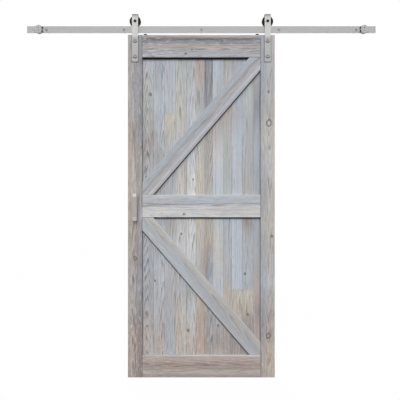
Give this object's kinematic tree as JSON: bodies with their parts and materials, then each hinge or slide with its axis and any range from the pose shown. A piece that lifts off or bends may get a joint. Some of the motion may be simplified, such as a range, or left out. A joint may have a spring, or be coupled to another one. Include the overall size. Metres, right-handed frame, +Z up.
{
  "type": "sliding barn door with track",
  "caption": "Weathered plank barn door with a K shaped brace, hung from steel strap hangers whose grooved wheels roll on a flat wall track.",
  "frame": {"origin": "on the wall plane, at the axis of the middle wall screw and the mid height of the track", "axes": "+X runs along the track to the right seen from the room, +Y goes into the wall, +Z is up"},
  "size_m": [2.176, 0.1256, 2.2646],
  "materials": {
    "board_wood": "weathered whitewashed grey, matt",
    "plank_wood": "weathered whitewashed grey and pale blue, matt",
    "brushed_steel": "brushed stainless steel",
    "bearing_steel": "ground bearing steel",
    "black_steel": "black oxide",
    "black_nylon": "black nylon, satin",
    "black_rubber": "black rubber"
  },
  "bodies": {
    "wall_track": {"track": "brushed_steel", "wall_screws": "brushed_steel", "end_stop_left": "brushed_steel", "end_stop_right": "brushed_steel", "bumpers_left": "black_rubber", "bumpers_right": "black_rubber", "clamp_screws": "black_steel", "spacer_1": "brushed_steel", "spacer_2": "brushed_steel", "spacer_3": "brushed_steel", "spacer_4": "brushed_steel", "spacer_5": "brushed_steel"},
    "door_leaf": {"left_stile": "board_wood", "right_stile": "board_wood", "top_rail": "board_wood", "middle_rail": "board_wood", "bottom_rail": "board_wood", "upper_brace": "board_wood", "lower_brace": "board_wood", "plank_1": "plank_wood", "plank_2": "plank_wood", "plank_3": "plank_wood", "plank_4": "plank_wood", "plank_5": "plank_wood", "plank_6": "plank_wood", "plank_7": "plank_wood", "plank_8": "plank_wood", "plank_9": "plank_wood", "plank_10": "plank_wood", "plank_11": "plank_wood", "plank_12": "plank_wood", "plank_13": "plank_wood", "plank_14": "plank_wood", "plank_4_top": "plank_wood", "plank_11_top": "plank_wood", "plank_12_top": "plank_wood", "hanger_left": "brushed_steel", "hanger_right": "brushed_steel", "strap_bolts": "brushed_steel", "strap_nuts": "brushed_steel", "axle_bolts": "black_steel", "axle_nuts": "black_steel", "axle_bushes": "brushed_steel", "bearing_inner_left": "bearing_steel", "bearing_inner_right": "bearing_steel", "guard_disc_left": "black_nylon", "guard_disc_right": "black_nylon", "guard_screws": "black_steel", "handle_bar": "brushed_steel", "handle_post_upper": "brushed_steel", "handle_post_lower": "brushed_steel", "handle_bolts": "brushed_steel", "handle_nuts": "brushed_steel"},
    "left_wheel": {"wheel_left": "black_nylon", "bearing_outer_left": "bearing_steel", "bearing_balls_left": "bearing_steel"},
    "right_wheel": {"wheel_right": "black_nylon", "bearing_outer_right": "bearing_steel", "bearing_balls_right": "bearing_steel"}
  },
  "joints": [
    {"name": "door_slide", "type": "slide", "parent": "wall_track", "child": "door_leaf", "axis": [1, 0, 0], "range_m": [-0.5555, 0.5555]},
    {"name": "left_wheel_spin", "type": "hinge", "parent": "door_leaf", "child": "left_wheel", "pos_m": [-0.41275, -0.037, 0.04995], "axis": [0, 1, 0], "range_deg": [-1110, 1110]},
    {"name": "right_wheel_spin", "type": "hinge", "parent": "door_leaf", "child": "right_wheel", "pos_m": [0.41275, -0.037, 0.04995], "axis": [0, 1, 0], "range_deg": [-1110, 1110]}
  ],
  "couplings": [
    {"joint": "left_wheel_spin", "follows": "door_slide", "rad_per_m": 34.783},
    {"joint": "right_wheel_spin", "follows": "door_slide", "rad_per_m": 34.783}
  ]
}
